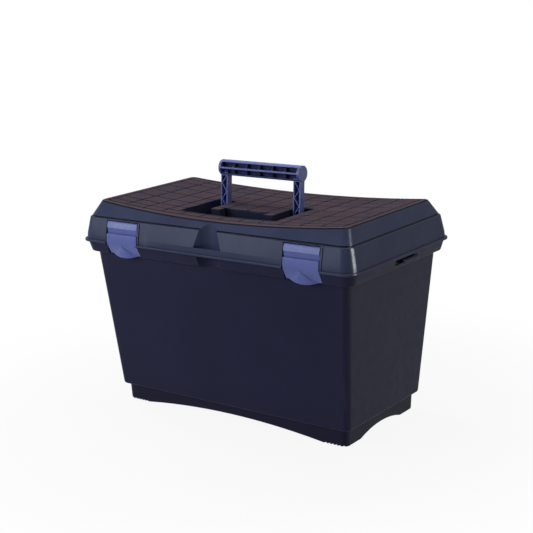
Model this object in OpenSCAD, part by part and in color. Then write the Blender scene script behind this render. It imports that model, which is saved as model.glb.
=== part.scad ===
// Horse grooming box.
// A drafted plastic tub on a stepped, arched plinth carries a dished sit-on lid on two rear hinges.
// Two hook latches hold the lid shut, a bail handle folds into a recess in the lid, and a tray
// with moulded dividers lifts out of the tub.
// Millimetres, +Z up, the front faces -Y, the origin lies on the floor under the middle of the box.

/* [Outline] */
// Length of the lid over its bottom bead
lid_l = 500; // [470:5:540]
// Depth of the lid over its bottom bead
lid_d = 284; // [276:2:310]
// Corner radius of the lid bead
lid_r = 20; // [18:1:26]
// Wall of the tub and the lid
wall = 3; // [2.6:0.1:3.4]

/* [Tub] */
// Height of the plinth that the body stands on
plinth_h = 26; // [22:1:34]
// Overhang of the body over the plinth
plinth_in = 9; // [7:0.5:11]
// Corner radius of the plinth
plinth_r = 8; // [6:0.5:11]
// Corner radius of the body
body_r = 10; // [8:0.5:13]
// Narrowing of the body from top to bottom at each end
taper_x = 17.5; // [12:0.5:22]
// Narrowing of the body from top to bottom at the front and at the back
taper_y = 20; // [14:0.5:24]
// Inset of the body's top edge from the lid bead
body_in = 17.5; // [16.5:0.5:19]
// Height of the collar's lower edge above the floor
collar_z = 248.5; // [225:2.5:285]
// Height of the collar
collar_h = 16.5; // [16:0.5:20]
// Inset of the collar's top edge from the lid bead
collar_in = 5; // [4.6:0.1:5.4]
// Inward lean of the collar from top to bottom
collar_lean = 3.8; // [3:0.2:4.4]
// Corner radius of the collar
collar_r = 16; // [14:0.5:18]
// Thickness of the tub's floor over the top of the arches
floor_t = 3.5; // [3:0.25:5]
// Rise of the arch under the front and the back
arch_h = 11; // [9:0.5:13]
// Length of the arch under the front and the back
arch_l = 330; // [280:5:350]
// Rise of the arch under the two ends
end_arch_h = 9.5; // [7:0.5:11]
// Length of the arch under the two ends
end_arch_l = 113; // [95:1:130]
// Notches along the front edge of each foot
notch_n = 6; // [3:1:6]
// Distance of the first foot notch from the end of the plinth
notch_start = 5; // [4:0.5:7]
// Distance from one foot notch to the next
notch_pitch = 6; // [4.5:0.25:6.5]
// Width of a foot notch
notch_w = 2.4; // [1.5:0.1:3]
// Depth of a foot notch
notch_d = 1.2; // [0.8:0.1:2]
// Length of a foot notch from the edge of the foot
notch_l = 12; // [8:1:16]
// Height of the upstand that keeps rain out of the joint
upstand_h = 6; // [4:0.5:8]
// Thickness of the upstand
upstand_t = 2.5; // [2:0.1:3]
// Clearance between the upstand and the lid
upstand_gap = 1; // [0.8:0.1:1.3]

/* [Strap slots] */
// Length of the wide end of a strap slot
slot_l = 22; // [16:1:26]
// Height of the wide end of a strap slot
slot_h = 7.5; // [6:0.25:8.5]
// Place of the wide end's middle, towards the back
slot_y = -5; // [-12:1:0]
// Length of the narrow slit of a strap slot
slit_l = 30; // [24:1:36]
// Height of the narrow slit
slit_h = 3.3; // [2.5:0.1:3.6]
// Distance from the top of the collar to the top of a strap slot
slot_drop = 3; // [2.5:0.25:3.5]
// Radius of the bar under the slit
slot_bar_r = 2.4; // [2:0.1:2.8]
// Length of the bar under the slit
slot_bar_l = 36; // [30:1:42]

/* [Lid] */
// Gap between the collar and the lid
lid_gap = 0.3; // [0.2:0.05:0.4]
// Height of the bead round the bottom of the lid
bead_h = 4; // [3.5:0.1:5]
// How far the bead stands out of the skirt
bead_out = 3; // [2.6:0.1:3.4]
// Height of the skirt's lower facet
knee_h = 8; // [7:0.5:11]
// Inward lean of the lower facet
knee_lean = 0.8; // [0.4:0.1:1.2]
// Height of the skirt's upper facet
skirt_h = 26; // [24:0.5:30]
// Inward lean of the upper facet
skirt_lean = 5; // [4.4:0.2:5.6]
// Width of the ledge between the skirt and the bevel
ledge_w = 1.6; // [1:0.1:2]
// Inset of the top's two ends from the bead
rim_in = 23; // [21:0.5:25]
// Inset of the top's front and back from the bead, at the height of its ends
rim_in_y = 28.5; // [26:0.5:30]
// Width of the plain rim at the two ends of the tiles
rim_w = 11; // [9:0.5:13]
// Width of the plain rim in front of the tiles and behind them, at the corners
rim_w_y = 5.5; // [4:0.5:7]
// Height of the dish's lowest line above the ledge
dish_rise = 13.3; // [12:0.1:15]
// Radius of the dish along the length of the lid
dish_r = 2300; // [2000:10:2800]
// Thickness of the top under the dish
top_t = 5; // [4.5:0.1:5.5]
// Columns of tiles along the lid
tile_cols = 12; // [8:2:14]
// Width of the grooves between the tiles
groove_w = 2.2; // [1.6:0.1:3]
// Depth of the grooves between the tiles
groove_d = 1.2; // [0.8:0.1:1.6]

/* [Thumb scoop] */
// Radius of the upright scoop in the front of the lid and the collar
scoop_r = 30; // [26:1:32]
// Depth of the scoop behind the lid bead
scoop_in = 18; // [16.5:0.25:19]

/* [Handle recess] */
// Width of a leg channel from the middle of the leg outwards
channel_out = 21.5; // [18:0.5:24]
// Width of a leg channel from the middle of the leg inwards
channel_in = 10.5; // [9.5:0.5:13]
// Distance of the recess's front edge from the pivot
recess_f = 86.5; // [84:0.5:90]
// Distance of the recess's back edge from the pivot
recess_b = 12.5; // [10:0.25:15]
// Depth of the recess floor under the pivot
recess_d = 14; // [13.5:0.25:15]
// Width of the two wings at the front of the island
wing_w = 15.5; // [12:0.5:20]
// Distance of the wings' front from the pivot
wing_f = 50.5; // [46:0.5:54]
// Distance of the island's front between the wings from the pivot
island_f = 34.5; // [28:0.5:42]
// Height of the handle's stop above the pivot
stop_h = 9; // [7:0.5:11]
// Clearance between a leg of the upright handle and its stop
stop_gap = 0.6; // [0.4:0.1:1]

/* [Handle] */
// Place of the handle pivot, towards the back of the lid
pivot_y = -1.5; // [-4:0.5:2]
// Height of the handle pivot above the lid ledge
pivot_drop = -2.3; // [-2.6:0.1:-1.8]
// Length of an arm from the pivot to the middle of the grip
arm_l = 70.5; // [69:0.5:72]
// Radius of the grip
grip_r = 12.2; // [11:0.1:12.6]
// How far the grip reaches past the outer faces of the legs
grip_over = 0.5; // [0.5:0.5:6]
// Thickness of the plain disc at each end of the grip
grip_disc = 3; // [2:0.5:6]
// Windows along the grip
window_n = 6; // [4:1:8]
// Height of a grip window
window_h = 7.5; // [6:0.25:8]
// Rib between two windows of a row
window_rib = 2.2; // [1.8:0.1:3.5]
// Web between the two rows of windows
window_web = 2.6; // [2.2:0.1:4]
// Web down the middle of the grip
grip_web = 3; // [2:0.1:4]
// Width of a handle leg
leg_w = 13; // [12:0.5:15]
// Depth of a handle leg
leg_d = 11; // [10:0.5:12]
// Distance between the middles of the legs
leg_span = 136; // [130:1:144]
// Side flanges and back web of the leg's channel
leg_t = 2.2; // [1.8:0.1:2.6]
// Diagonal ribs in a leg's channel
leg_rib_n = 4; // [3:1:5]
// Thickness of a diagonal rib
leg_rib_t = 1.5; // [1.2:0.1:2.2]
// Radius of the barrel at a leg's foot
barrel_r = 6.5; // [5.5:0.1:7]
// Clearance between a barrel's end and the recess
barrel_gap = 0.6; // [0.4:0.1:1]
// Lean of the upright handle towards the back, so that it rests on its stop
handle_lean = 4.5; // [2:0.1:6]
// Radius of a handle pin
handle_pin_r = 3; // [2.5:0.1:3.5]

/* [Latches] */
// Distance between the middles of the latches
latch_span = 330; // [300:5:350]
// Width of a latch
latch_w = 60; // [50:1:66]
// Gap beside a latch
latch_gap = 1.2; // [0.8:0.1:1.6]
// Width of the raised strip beside a latch
strip_w = 3; // [2.5:0.1:4]
// How far the strip stands out of the skirt
strip_out = 1.2; // [0.8:0.1:1.6]
// Distance of the latch's top from the lid ledge
latch_drop = 2.8; // [2.7:0.05:3]
// Inset of the latch's top from the bead
latch_in = 7; // [6.6:0.1:7.2]
// Height of the latch's upper band
band_1 = 9.7; // [9:0.1:10.5]
// Height of the latch's middle band
band_2 = 8.7; // [8:0.1:9.5]
// Outward lean of the upper band
band_lean = 2.2; // [1.8:0.1:2.4]
// Depth of the step above and below the middle band
band_step = 1; // [0.6:0.1:1.3]
// Inset of the latch's lower band from the bead
band_in = 3; // [2.8:0.1:3.4]
// Height of the latch's slanted tab
tab_h = 15.5; // [15:0.25:16]
// Inset of the tab's lower edge from the bead
tab_in = 11; // [10.8:0.1:11.2]
// Drop of the finger tongue under the tab
tongue_h = 5; // [3:0.5:6]
// Outward reach of the finger tongue from the tab's lower edge
tongue_out = 5.3; // [4:0.1:6]
// Half the width of the finger tongue
tongue_w = 26; // [20:1:28]
// Thickness of the latch
latch_t = 2.7; // [2.4:0.1:2.8]
// Depth of the latch pocket in the lid, behind the bead
pocket_in = 17; // [16.6:0.1:17.6]
// Depth of the latch recess in the collar, behind the bead
catch_in = 14.5; // [14.2:0.1:14.7]
// Inset of the latch pin from the bead
latch_pin_in = 10.5; // [10.3:0.1:10.8]
// Radius of a latch pin
latch_pin_r = 1.5; // [1.2:0.1:1.6]
// Radius of the latch's barrel
latch_barrel_r = 3.2; // [2.9:0.1:3.3]
// Height of the catch ridge above the collar's lower edge
catch_z = 8.8; // [8.4:0.1:9.2]
// Height of the catch ridge
catch_h = 3; // [2.5:0.1:3.4]
// How far the catch ridge stands out
catch_out = 3; // [2.6:0.1:3.2]
// Clearance between the hook and the catch ridge
hook_gap = 0.4; // [0.3:0.05:0.5]
// Height of the hook
hook_h = 3.7; // [3:0.1:4.2]
// Clearance between the hook's tip and the recess
hook_tip_gap = 0.8; // [0.6:0.1:1]

/* [Hinges] */
// Distance between the middles of the two hinges
hinge_span = 300; // [240:10:340]
// Radius of a hinge knuckle
knuckle_r = 4.5; // [4.4:0.05:4.6]
// Length of the lid's knuckle
knuckle_lid = 24; // [18:1:32]
// Length of each of the tub's two knuckles
knuckle_tub = 16; // [12:1:20]
// Gap between neighbouring knuckles
knuckle_gap = 0.5; // [0.4:0.05:0.8]
// Clearance round a knuckle
knuckle_room = 0.8; // [0.7:0.05:1]
// Radius of a hinge pin
hinge_pin_r = 2; // [1.7:0.1:2.3]
// Running clearance of every pin in its bores
pin_fit = 0.05; // [0.03:0.01:0.08]

/* [Tray] */
// Depth of the tray below its flange
tray_deep = 70; // [50:2:100]
// Wall of the tray
tray_wall = 2.4; // [2:0.1:3]
// Thickness of the tray's flange
tray_flange = 2.5; // [2:0.1:3]
// Clearance between the tray's flange and the tub's ledge
tray_seat = 0.2; // [0.15:0.05:0.3]
// Clearance between the tray's flange and the tub
tray_gap = 1.5; // [1.2:0.1:2]
// Clearance between the tray's bowl and the tub
tray_room = 3.5; // [3:0.25:5]
// Draft of the tray's bowl
tray_draft = 5.5; // [4:0.5:8]
// Distance between the two cross dividers
divider_span = 180; // [140:5:220]
// Radius of the tray's grip bar
tray_grip_r = 5; // [4:0.25:6]
// Length of the tray's grip bar
tray_grip_l = 124; // [110:2:140]
// Height of the finger hole under the grip bar
tray_hole_h = 26; // [22:1:34]

/* [Hidden] */

tub_color = [0.15, 0.15, 0.20];
lid_color = [0.26, 0.26, 0.31];
tray_color = [0.30, 0.30, 0.35];
violet = [0.46, 0.48, 0.76];
steel = [0.72, 0.72, 0.74];

// Corner facets of the drafted shells, facets of wide arcs, thickness of a shell level, overlap of
// joined shapes and reach of cutting shapes
shell_fn = 32;
arc_fn = 720;
level_t = 0.4;
lap = 1;
reach = 60;

// Shrinking of the lid's corner radius with its inset, and the least corner radius
corner_shrink = 0.45;
corner_min = 3;

// Half sizes of the whole outline, and heights from the floor up
hx = lid_l / 2;
hy = lid_d / 2;
collar_top = collar_z + collar_h;
ledge_in_z = collar_z + wall;
floor_z = arch_h + floor_t;
lid_z = collar_top + lid_gap;
bead_top = lid_z + bead_h;
knee_z = bead_top + knee_h;
ledge_z = knee_z + skirt_h;
pivot_z = ledge_z + pivot_drop;
dish_z = ledge_z + dish_rise;

// Insets of the lid's outline from its bead
knee_in = bead_out + knee_lean;
ledge_in = knee_in + skirt_lean;
bevel_in = ledge_in + ledge_w;
field_in = rim_in_y + rim_w_y;
field_x = hx - rim_in - rim_w;
field_y = hy - field_in;
rim_z = dish_height(hx - rim_in);
peak_z = rim_z + lap;
peak_share = (peak_z - ledge_z) / (rim_z - ledge_z);
peak_in = bevel_in + (rim_in - bevel_in) * peak_share;
peak_in_y = bevel_in + (rim_in_y - bevel_in) * peak_share;

// Half sizes of the body's top and bottom, and of the plinth
body_x = hx - body_in;
body_y = hy - body_in;
foot_x = body_x - taper_x;
foot_y = body_y - taper_y;
plinth_x = foot_x - plinth_in;
plinth_y = foot_y - plinth_in;

// Inner edge of the collar, and the upstand that locates the lid
collar_foot_in = collar_in + collar_lean;
collar_hole_in = collar_foot_in + wall;
upstand_in = bead_out + wall + upstand_gap;

// Rows of tiles: each line's share of the field's half depth, from the middle outwards
row_lines = [0, 0.343, 0.639, 0.843, 1];
tile_pitch = 2 * field_x / tile_cols;

// Handle recess and handle
leg_x = leg_span / 2;
grip_l = leg_span + leg_w + 2 * grip_over;
recess_x = leg_x + channel_out;
island_x = leg_x - channel_in;
recess_z = pivot_z - recess_d;
pin_inner_x = island_x - wall;
pin_outer_x = recess_x + wall;

// Latch: heights of its bands from the top down, and its pin
latch_x = latch_span / 2;
latch_top = ledge_z - latch_drop;
band_z1 = latch_top - band_1;
band_z2 = band_z1 - band_2;
tab_top = lid_z;
tab_bottom = tab_top - tab_h;
latch_pin_y = latch_pin_in - hy;
latch_pin_z = latch_top - latch_barrel_r;
pocket_half = latch_w / 2 + latch_gap;
pocket_top = ledge_z - latch_drop / 2;
catch_bottom = collar_z + catch_z;
catch_y = catch_in - hy;

// Thumb scoop and hinge axis
scoop_y = scoop_in - hy - scoop_r;
hinge_x = hinge_span / 2;
hinge_y = hy - knuckle_r;
hinge_rise = 0.2;
hinge_z = lid_z + hinge_rise;
hinge_half = knuckle_lid / 2 + knuckle_gap + knuckle_tub;

// Tray
tray_z = ledge_in_z + tray_seat;
tray_top = tray_z + tray_flange;
tray_bottom = tray_z - tray_deep;
body_slope_x = taper_x / (collar_z - plinth_h);
body_slope_y = taper_y / (collar_z - plinth_h);
tray_x = body_x - wall - tray_room;
tray_y = body_y - wall - tray_room;
tray_foot_x = tray_x - max(tray_draft, body_slope_x * tray_deep);
tray_foot_y = tray_y - max(tray_draft, body_slope_y * tray_deep);

// Height of the dish above the floor at a place along the lid
function dish_height(x) = dish_z + dish_r - sqrt(dish_r * dish_r - x * x);

// Radius of a circle through the ends and the top of an arch
function arch_radius(length, rise) = (length * length / 4 + rise * rise) / (2 * rise);

// A straight prism with round corners between two heights
module round_block(half_x, half_y, r, z0, z1) {
    translate([0, 0, z0])
        linear_extrude(z1 - z0) {
            square([2 * half_x, 2 * (half_y - r)], center = true);
            square([2 * (half_x - r), 2 * half_y], center = true);
            for (sx = [-1, 1], sy = [-1, 1])
                translate([sx * (half_x - r), sy * (half_y - r)])
                    circle(r, $fn = 64);
        }
}

// One thin level of a drafted shell, with round corners
module level(half_x, half_y, r, z) {
    for (sx = [-1, 1], sy = [-1, 1])
        translate([sx * (half_x - r), sy * (half_y - r), z])
            cylinder(r = r, h = level_t, $fn = shell_fn);
}

// A level of the lid or the collar, set in from the bead outline
module inset_level(inset, z) {
    level(hx - inset, hy - inset, max(lid_r - inset * corner_shrink, corner_min), z);
}

// The level where the lid's bevels would end if the top were not dished
module peak_level(inset) {
    r = max(lid_r - (peak_in + inset) * corner_shrink, corner_min);
    level(hx - peak_in - inset, hy - peak_in_y - inset, r, peak_z);
}

// A cylinder that lies along X from x0 to x1
module rod(r, x0, x1, y, z) {
    translate([x0, y, z])
        rotate([0, 90, 0])
            cylinder(r = r, h = x1 - x0, $fn = 64);
}

// A profile drawn in Y and Z, extruded along X between two places
module along_x(points, x0, x1) {
    translate([x0, 0, 0])
        rotate([90, 0, 90])
            linear_extrude(x1 - x0)
                polygon(points);
}

// A box between two corners
module span_box(low, high) {
    translate(low)
        cube(high - low);
}

// The upright cylinder of the thumb scoop, between two heights
module scoop(r, z0, z1) {
    translate([0, scoop_y, z0])
        cylinder(r = r, h = z1 - z0, $fn = 96);
}

// Outside of the tub: plinth, drafted body and collar
module tub_outside() {
    round_block(plinth_x, plinth_y, plinth_r, 0, plinth_h + lap);
    hull() {
        level(foot_x, foot_y, body_r, plinth_h);
        level(body_x, body_y, body_r, collar_z + lap);
    }
    hull() {
        level(hx - collar_foot_in, hy - collar_foot_in, collar_r, collar_z);
        level(hx - collar_in, hy - collar_in, collar_r, collar_top - level_t);
    }
    difference() {
        round_block(hx - upstand_in, hy - upstand_in, collar_r, collar_top - lap, collar_top + upstand_h);
        upstand_breaks();
    }
}

// Gaps in the upstand behind the latches and the thumb scoop, and at the hinges
module upstand_breaks() {
    latch_half = pocket_half + wall + upstand_gap;
    scoop_half = scoop_r + wall + upstand_gap;
    for (s = [-1, 1])
        span_box([s * latch_x - latch_half, -hy, collar_top], [s * latch_x + latch_half, -field_y, knee_z]);
    span_box([-scoop_half, -hy, collar_top], [scoop_half, -field_y, knee_z]);
    hinge_room = hinge_half + knuckle_gap;
    for (s = [-1, 1])
        span_box([s * hinge_x - hinge_room, field_y, collar_top], [s * hinge_x + hinge_room, hy, knee_z]);
}

// Hollow of the tub, left solid behind the latch recesses and the thumb scoop
module tub_hollow() {
    upstand_hole = upstand_in + upstand_t;
    round_block(plinth_x - wall, plinth_y - wall, plinth_r - wall, floor_z, plinth_h + wall + lap);
    hull() {
        level(foot_x - wall, foot_y - wall, body_r - wall, plinth_h + wall);
        level(body_x - wall, body_y - wall, body_r - wall, ledge_in_z + lap);
    }
    difference() {
        round_block(hx - collar_hole_in, hy - collar_hole_in, collar_r - wall, ledge_in_z, collar_top + lap);
        for (s = [-1, 1])
            span_box(
                [s * latch_x - pocket_half - wall, -hy, collar_z],
                [s * latch_x + pocket_half + wall, catch_y + wall, collar_top]
            );
        scoop(scoop_r + wall, collar_z, collar_top);
    }
    round_block(hx - upstand_hole, hy - upstand_hole, collar_r - wall, collar_top, knee_z);
}

// Arches between the feet, and the notches along the feet's edges
module foot_cuts() {
    front_r = arch_radius(arch_l, arch_h);
    end_r = arch_radius(end_arch_l, end_arch_h);
    translate([0, 0, arch_h - front_r])
        rotate([90, 0, 0])
            cylinder(r = front_r, h = lid_d, center = true, $fn = arc_fn);
    translate([0, 0, end_arch_h - end_r])
        rotate([0, 90, 0])
            cylinder(r = end_r, h = lid_l, center = true, $fn = arc_fn);
    for (sx = [-1, 1], sy = [-1, 1], i = [0 : notch_n - 1])
        translate([
            sx * (plinth_x - notch_start - notch_pitch * i) - notch_w / 2,
            sy * (plinth_y - notch_l / 2) - (notch_l / 2 + lap),
            -lap
        ])
            cube([notch_w, notch_l + 2 * lap, notch_d + lap]);
}

// Keyhole slot in one end of the collar for a strap
module strap_slot() {
    top = collar_top - slot_drop;
    y1 = slot_y + slot_l / 2;
    span_box([hx - reach / 2, slot_y - slot_l / 2, top - slot_h], [hx, y1, top]);
    span_box([hx - reach / 2, y1 - lap, top - slit_h], [hx, y1 + slit_l, top]);
}

// Rounded bar under the slit of a strap slot
module strap_bar() {
    y0 = slot_y + slot_l / 2 + slot_bar_r + lap;
    z = collar_top - slot_drop - slit_h - slot_bar_r;
    x = hx - collar_in - collar_lean * (collar_top - z) / collar_h;
    translate([x, y0, z])
        rotate([-90, 0, 0])
            cylinder(r = slot_bar_r, h = slot_bar_l, $fn = 48);
    for (y = [y0, y0 + slot_bar_l])
        translate([x, y, z])
            sphere(slot_bar_r, $fn = 48);
}

// The tub's two knuckles of a hinge with their gussets
module tub_knuckles() {
    root = hy - collar_foot_in - wall / 2;
    side = knuckle_r * cos(45);
    gusset = [
        [root, hinge_z],
        [hinge_y, hinge_z],
        [hinge_y + side, hinge_z - side],
        [hy - collar_foot_in + lap, collar_z + wall],
        [root, collar_z + wall]
    ];
    for (s = [-1, 1]) {
        x0 = s > 0 ? hinge_half - knuckle_tub : -hinge_half;
        rod(knuckle_r, x0, x0 + knuckle_tub, hinge_y, hinge_z);
        along_x(gusset, x0, x0 + knuckle_tub);
    }
}

// Room for knuckles of the other half, over a stretch of the hinge line
module knuckle_cut(x0, x1) {
    r = knuckle_r + knuckle_room;
    rod(r, x0 - knuckle_gap, x1 + knuckle_gap, hinge_y, hinge_z);
}

// Bore of a hinge through all its knuckles
module hinge_bore() {
    rod(hinge_pin_r + pin_fit, -hinge_half - lap, hinge_half + lap, hinge_y, hinge_z);
}

module tub() {
    color(tub_color)
        difference() {
            union() {
                difference() {
                    tub_outside();
                    tub_hollow();
                    foot_cuts();
                    for (s = [0, 1])
                        mirror([s, 0, 0])
                            strap_slot();
                    for (s = [-1, 1])
                        span_box(
                            [s * latch_x - pocket_half, -hy - lap, collar_z - lap],
                            [s * latch_x + pocket_half, catch_y, knee_z]
                        );
                    for (s = [-1, 1])
                        translate([s * hinge_x, 0, 0])
                            knuckle_cut(-knuckle_lid / 2, knuckle_lid / 2);
                    scoop(scoop_r, collar_z - lap, knee_z);
                }
                for (s = [0, 1])
                    mirror([s, 0, 0])
                        strap_bar();
                for (s = [-1, 1])
                    translate([s * latch_x, 0, 0])
                        span_box(
                            [-tongue_w, catch_y - catch_out, catch_bottom],
                            [tongue_w, catch_y + lap, catch_bottom + catch_h]
                        );
                for (s = [-1, 1])
                    translate([s * hinge_x, 0, 0])
                        tub_knuckles();
            }
            for (s = [-1, 1])
                translate([s * hinge_x, 0, 0])
                    hinge_bore();
        }
}

// Outside of the lid before its top is dished
module lid_outside() {
    round_block(hx, hy, lid_r, lid_z, bead_top);
    hull() {
        inset_level(bead_out, bead_top - lap);
        inset_level(knee_in, knee_z);
        inset_level(ledge_in, ledge_z - level_t);
    }
    hull() {
        inset_level(bevel_in, ledge_z - level_t);
        peak_level(0);
    }
    intersection() {
        hull() {
            inset_level(bead_out - strip_out, lid_z);
            inset_level(knee_in - strip_out, knee_z);
            inset_level(ledge_in - strip_out, ledge_z - lap);
        }
        for (s = [-1, 1], side = [-1, 1])
            translate([s * latch_x + side * (pocket_half + strip_w / 2), -field_y, knee_z])
                cube([strip_w, 2 * field_in, reach], center = true);
    }
}

// Hollow of the lid, left solid round the handle recess, the latch pockets and the scoop
module lid_hollow() {
    difference() {
        union() {
            hull() {
                inset_level(bead_out + wall, lid_z - lap);
                inset_level(knee_in + wall, knee_z);
                inset_level(ledge_in + wall, ledge_z - wall);
            }
            hull() {
                inset_level(bevel_in + wall, ledge_z - wall - lap);
                peak_level(wall + lap);
            }
        }
        dish(dish_r + top_t);
        recess(wall, recess_z - wall, peak_z);
        for (s = [-1, 1])
            span_box(
                [s * latch_x - pocket_half - wall, -hy, lid_z - 2 * lap],
                [s * latch_x + pocket_half + wall, pocket_in + wall - hy, ledge_z + lap]
            );
        scoop(scoop_r + wall, lid_z - 2 * lap, peak_z);
    }
}

// Everything above the dish, as a cylinder that lies along Y
module dish(r) {
    translate([0, 0, dish_z + dish_r])
        rotate([90, 0, 0])
            cylinder(r = r, h = lid_d + reach, center = true, $fn = arc_fn);
}

// Grooves between the tiles, cut to one depth under the dish
module tile_grooves() {
    intersection() {
        union() {
            for (i = [-tile_cols / 2 : tile_cols / 2])
                translate([i * tile_pitch, 0, dish_z])
                    cube([groove_w, 2 * field_y + groove_w, reach], center = true);
            for (f = row_lines, s = [-1, 1])
                if (f > 0 || s > 0)
                    translate([0, s * f * field_y, dish_z])
                        cube([2 * field_x + groove_w, groove_w, reach], center = true);
        }
        dish(dish_r + groove_d);
    }
}

// The U-shaped recess for the folded handle, grown sideways by a wall
module recess(grow, z0, z1) {
    translate([0, pivot_y, 0]) {
        span_box([-recess_x - grow, -recess_f - grow, z0], [recess_x + grow, -wing_f + grow, z1]);
        span_box(
            [-island_x + wing_w - grow, -wing_f - lap, z0],
            [island_x - wing_w + grow, -island_f + grow, z1]
        );
        for (s = [0, 1])
            mirror([s, 0, 0])
                span_box([island_x - grow, -wing_f - lap, z0], [recess_x + grow, recess_b + grow, z1]);
    }
}

// Stop behind one leg of the upright handle, at the back of its channel
module handle_stop() {
    stop_y = pivot_y + leg_d / (2 * cos(handle_lean)) + stop_h * tan(handle_lean) + stop_gap;
    span_box(
        [leg_x - leg_w / 2, stop_y, recess_z - lap],
        [leg_x + leg_w / 2, pivot_y + recess_b + lap, pivot_z + stop_h]
    );
}

// Scoop in the lid: open above the lower facet, and a finger way behind it
module lid_scoop() {
    scoop(scoop_r, knee_z, peak_z + lap);
    intersection() {
        scoop(scoop_r, lid_z - lap, knee_z + lap);
        span_box([-scoop_r, knee_in + wall - hy, lid_z - lap], [scoop_r, 0, knee_z + lap]);
    }
}

// Bores for the pin of one latch and one side of the handle
module lid_bores() {
    for (s = [-1, 1])
        rod(
            latch_pin_r + pin_fit, s * latch_x - pocket_half - wall + lap,
            s * latch_x + pocket_half + wall - lap, latch_pin_y, latch_pin_z
        );
    for (s = [0, 1])
        mirror([s, 0, 0])
            rod(handle_pin_r + pin_fit, pin_inner_x - lap, pin_outer_x + lap, pivot_y, pivot_z);
}

module lid() {
    color(lid_color)
        difference() {
            union() {
                difference() {
                    lid_outside();
                    lid_hollow();
                    dish(dish_r);
                    for (s = [-1, 1])
                        span_box(
                            [s * latch_x - pocket_half, -hy - lap, lid_z - lap],
                            [s * latch_x + pocket_half, pocket_in - hy, pocket_top]
                        );
                    for (s = [-1, 1], side = [-1, 1])
                        translate([s * hinge_x + side * (hinge_half - knuckle_tub / 2), 0, 0]) {
                            knuckle_cut(-knuckle_tub / 2, knuckle_tub / 2);
                            span_box(
                                [-knuckle_tub / 2 - knuckle_gap, hinge_y - knuckle_r, lid_z - lap],
                                [knuckle_tub / 2 + knuckle_gap, hinge_y + lap, hinge_z]
                            );
                            span_box(
                                [-knuckle_tub / 2 - knuckle_gap, hinge_y, lid_z - lap],
                                [knuckle_tub / 2 + knuckle_gap, hy + lap, bead_top + lap]
                            );
                        }
                    lid_scoop();
                    recess(0, recess_z, peak_z + lap);
                    tile_grooves();
                }
                for (s = [-1, 1])
                    translate([s * hinge_x, 0, 0])
                        rod(knuckle_r, -knuckle_lid / 2, knuckle_lid / 2, hinge_y, hinge_z);
                for (s = [0, 1])
                    mirror([s, 0, 0])
                        handle_stop();
            }
            lid_bores();
            for (s = [-1, 1])
                translate([s * hinge_x, 0, 0])
                    hinge_bore();
        }
}

// Finger hole in the tray's middle divider
module tray_hole() {
    z1 = tray_top - 2 * tray_grip_r;
    half = tray_grip_l / 2 - 2 * tray_grip_r;
    span_box([-half, -tray_grip_r, z1 - tray_hole_h], [half, tray_grip_r, z1]);
}

module tray() {
    color(tray_color) {
        difference() {
            union() {
                round_block(
                    hx - collar_hole_in - tray_gap, tray_y + tray_room - tray_gap,
                    body_r, tray_z, tray_top
                );
                hull() {
                    level(tray_foot_x, tray_foot_y, body_r, tray_bottom);
                    level(tray_x, tray_y, body_r, tray_z + lap);
                }
            }
            difference() {
                hull() {
                    level(tray_foot_x - tray_wall, tray_foot_y - tray_wall, body_r - tray_wall,
                          tray_bottom + tray_wall);
                    level(tray_x - tray_wall, tray_y - tray_wall, body_r - tray_wall, tray_top + lap);
                }
                span_box([-hx, -tray_wall / 2, 0], [hx, tray_wall / 2, tray_top]);
                for (s = [-1, 1])
                    translate([s * divider_span / 2, 0, 0])
                        span_box([-tray_wall / 2, -hy, 0], [tray_wall / 2, 0, tray_z]);
            }
            tray_hole();
        }
        rod(tray_grip_r, -tray_grip_l / 2, tray_grip_l / 2, 0, tray_top - tray_grip_r);
    }
}

// Rows of windows in the front and the back of the grip
module grip_windows() {
    pitch = (grip_l - 2 * grip_disc) / window_n;
    w = pitch - window_rib;
    for (i = [0 : window_n - 1], row = [-1, 1], side = [-1, 1])
        translate([
            (i - (window_n - 1) / 2) * pitch,
            side * (grip_web / 2 + grip_r),
            row * (window_web + window_h) / 2
        ])
            cube([w, 2 * grip_r, window_h], center = true);
}

// One leg of the handle: a channel open to the front with diagonal ribs
module handle_leg() {
    z0 = barrel_r + leg_t;
    z1 = arm_l - grip_r;
    rise = (z1 - z0) / leg_rib_n;
    inner = leg_w - 2 * leg_t;
    rib_l = sqrt(rise * rise + inner * inner) + leg_rib_t;
    tilt = atan(inner / rise);
    difference() {
        span_box([-leg_w / 2, -leg_d / 2, 0], [leg_w / 2, leg_d / 2, arm_l - lap]);
        span_box([-inner / 2, -leg_d, z0], [inner / 2, leg_d / 2 - leg_t, z1]);
    }
    intersection() {
        span_box([-leg_w / 2 + lap / 2, -leg_d / 2, z0 - lap], [leg_w / 2 - lap / 2, leg_d / 2, z1 + lap]);
        for (i = [0 : leg_rib_n - 1])
            translate([0, 0, z0 + rise * (i + 0.5)])
                rotate([0, i % 2 == 0 ? tilt : -tilt, 0])
                    cube([leg_rib_t, leg_d, rib_l], center = true);
    }
}

module handle() {
    color(violet)
        translate([0, pivot_y, pivot_z])
            rotate([-handle_lean, 0, 0])
                difference() {
                    union() {
                        difference() {
                            rod(grip_r, -grip_l / 2, grip_l / 2, 0, arm_l);
                            translate([0, 0, arm_l])
                                grip_windows();
                        }
                        for (s = [0, 1])
                            mirror([s, 0, 0]) {
                                translate([leg_x, 0, 0])
                                    handle_leg();
                                rod(barrel_r, island_x + barrel_gap, recess_x - barrel_gap, 0, 0);
                            }
                    }
                    rod(handle_pin_r + pin_fit, -recess_x, recess_x, 0, 0);
                }
}

// Steel pin through one barrel of the handle and both walls of its channel
module handle_pin(side) {
    x0 = pin_inner_x + pin_fit;
    x1 = pin_outer_x - pin_fit;
    color(steel)
        rod(handle_pin_r, side > 0 ? x0 : -x1, side > 0 ? x1 : -x0, pivot_y, pivot_z);
}

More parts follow.
